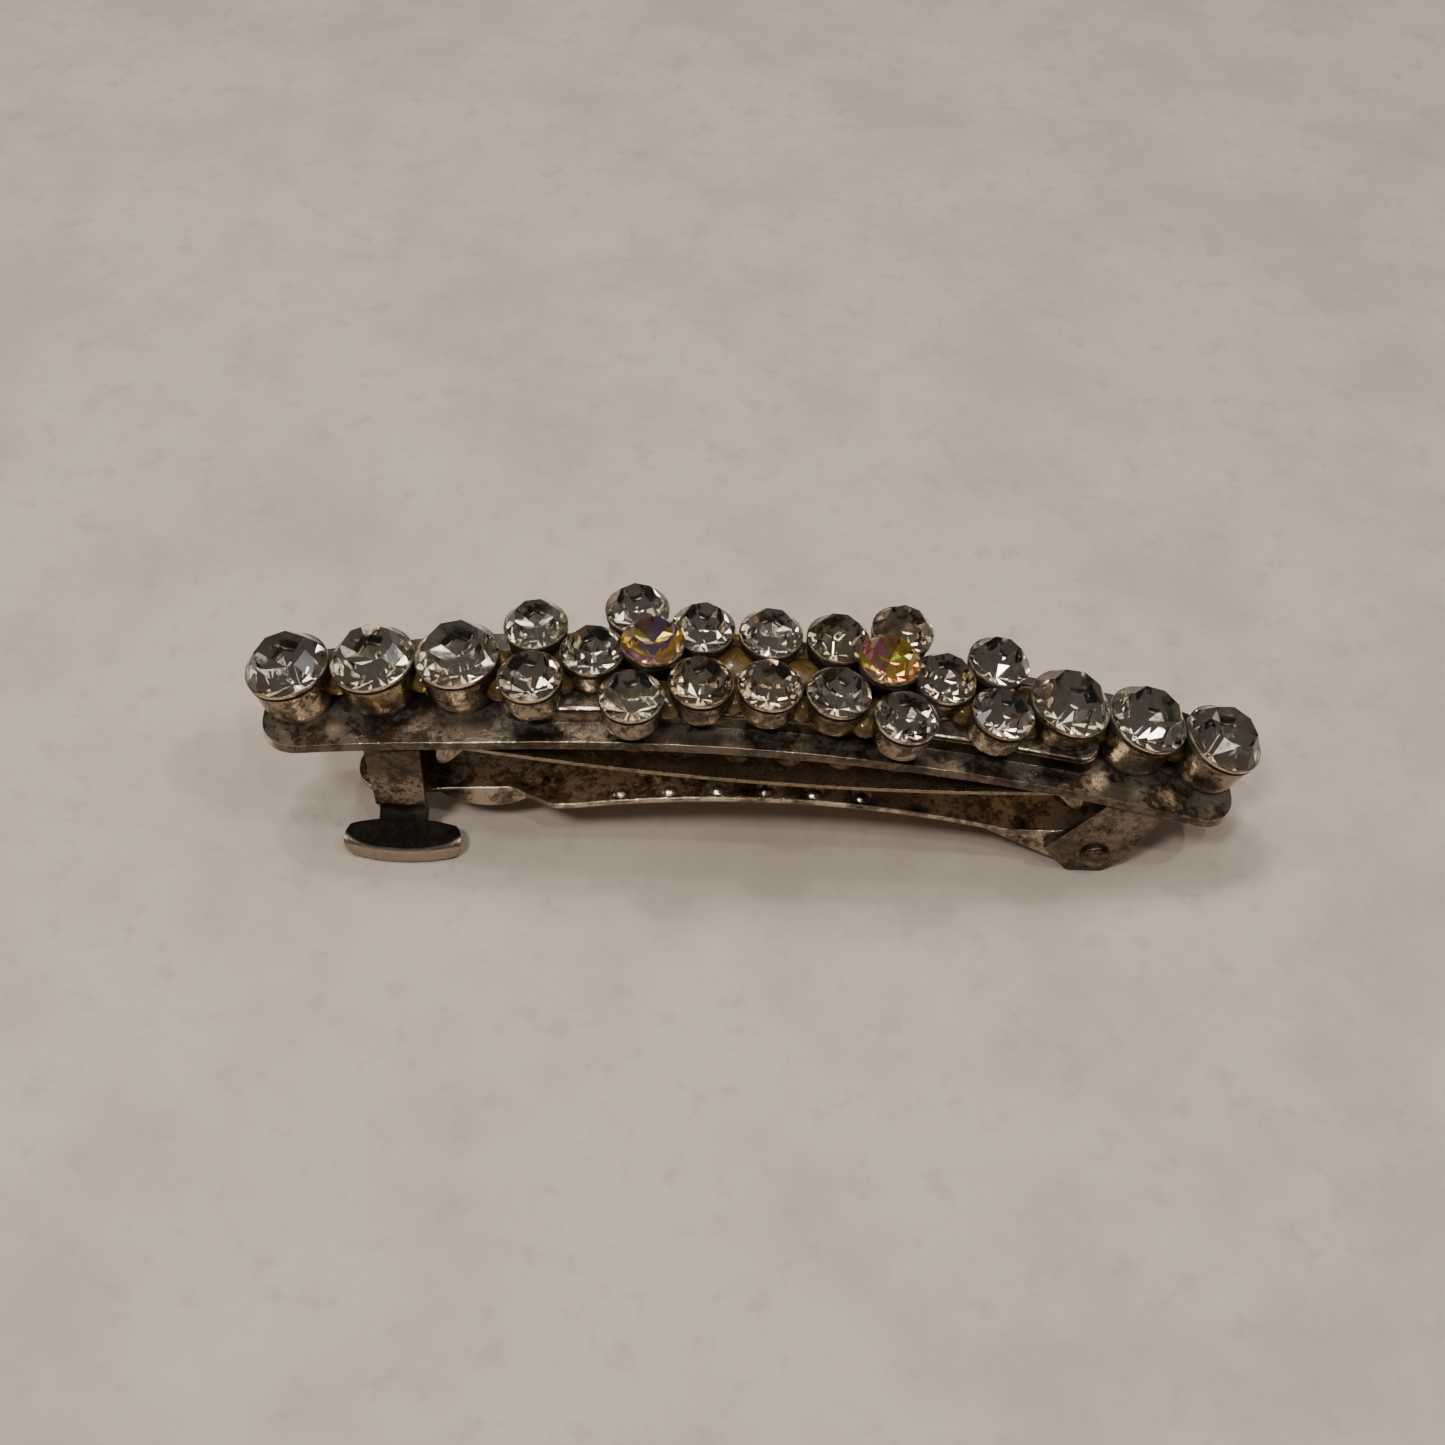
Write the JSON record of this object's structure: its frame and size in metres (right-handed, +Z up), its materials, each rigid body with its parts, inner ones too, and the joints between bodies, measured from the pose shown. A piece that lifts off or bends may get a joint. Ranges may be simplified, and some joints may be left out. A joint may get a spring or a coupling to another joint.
{
  "type": "hair clip",
  "caption": "Arched French barrette set with cupped round rhinestones in two flowers and rows, over a sprung clasp with a hinged lever and squeeze pads.",
  "frame": {"origin": "on the surface that the closed clip stands on, under the middle of its bounding box", "axes": "+X along the clip from the catch to the hinge, +Y across it to the back, +Z up through the stones"},
  "size_m": [0.0754, 0.013, 0.0208],
  "materials": {
    "plate_metal": "nickel-plated steel, worn and tarnished brown",
    "cup_metal": "silver-plated cups, tarnished, bright worn rims",
    "clasp_metal": "plated spring steel, mottled tarnish, bright worn edges",
    "fixings": "plated steel rivets and pin",
    "crystal": "clear foil-backed faceted glass",
    "aurora_crystal": "faceted glass with an iridescent coating"
  },
  "bodies": {
    "clip_body": {"bow_spring": "clasp_metal", "bracket_rivet": "fixings", "catch_base": "clasp_metal", "catch_rivet": "fixings", "cup_large_1": "cup_metal", "cup_large_2": "cup_metal", "cup_large_3": "cup_metal", "cup_large_4": "cup_metal", "cup_large_5": "cup_metal", "cup_large_6": "cup_metal", "cup_left_centre": "cup_metal", "cup_left_pair_back": "cup_metal", "cup_left_pair_front": "cup_metal", "cup_left_petal_1": "cup_metal", "cup_left_petal_2": "cup_metal", "cup_left_petal_3": "cup_metal", "cup_left_petal_4": "cup_metal", "cup_left_petal_5": "cup_metal", "cup_middle_pair_back": "cup_metal", "cup_middle_pair_front": "cup_metal", "cup_right_centre": "cup_metal", "cup_right_pair_back": "cup_metal", "cup_right_pair_front": "cup_metal", "cup_right_petal_1": "cup_metal", "cup_right_petal_2": "cup_metal", "cup_right_petal_3": "cup_metal", "cup_right_petal_4": "cup_metal", "cup_right_petal_5": "cup_metal", "hinge_bracket": "clasp_metal", "hinge_pin": "fixings", "stone_large_1": "crystal", "stone_large_2": "crystal", "stone_large_3": "crystal", "stone_large_4": "crystal", "stone_large_5": "crystal", "stone_large_6": "crystal", "stone_left_centre": "aurora_crystal", "stone_left_pair_back": "crystal", "stone_left_pair_front": "crystal", "stone_left_petal_1": "crystal", "stone_left_petal_2": "crystal", "stone_left_petal_3": "crystal", "stone_left_petal_4": "crystal", "stone_left_petal_5": "crystal", "stone_middle_pair_back": "crystal", "stone_middle_pair_front": "crystal", "stone_right_centre": "aurora_crystal", "stone_right_pair_back": "crystal", "stone_right_pair_front": "crystal", "stone_right_petal_1": "crystal", "stone_right_petal_2": "crystal", "stone_right_petal_3": "crystal", "stone_right_petal_4": "crystal", "stone_right_petal_5": "crystal", "top_plate": "plate_metal"},
    "lever": {"lever": "clasp_metal"},
    "catch_arm_front": {"catch_arm_front": "clasp_metal"},
    "catch_arm_back": {"catch_arm_back": "clasp_metal"}
  },
  "joints": [
    {"name": "lever_hinge", "type": "hinge", "parent": "clip_body", "child": "lever", "pos_m": [0.02586, 0, 0.0022], "axis": [0, -1, 0], "range_deg": [0, 100]},
    {"name": "catch_squeeze_front", "type": "hinge", "parent": "clip_body", "child": "catch_arm_front", "pos_m": [-0.0269, -0.00362, 0.01158], "axis": [1, 0, 0], "range_deg": [-6, 1], "stiffness_Nm_per_rad": 0.5},
    {"name": "catch_squeeze_back", "type": "hinge", "parent": "clip_body", "child": "catch_arm_back", "pos_m": [-0.0269, 0.00362, 0.01158], "axis": [-1, 0, 0], "range_deg": [-6, 1], "stiffness_Nm_per_rad": 0.5}
  ]
}
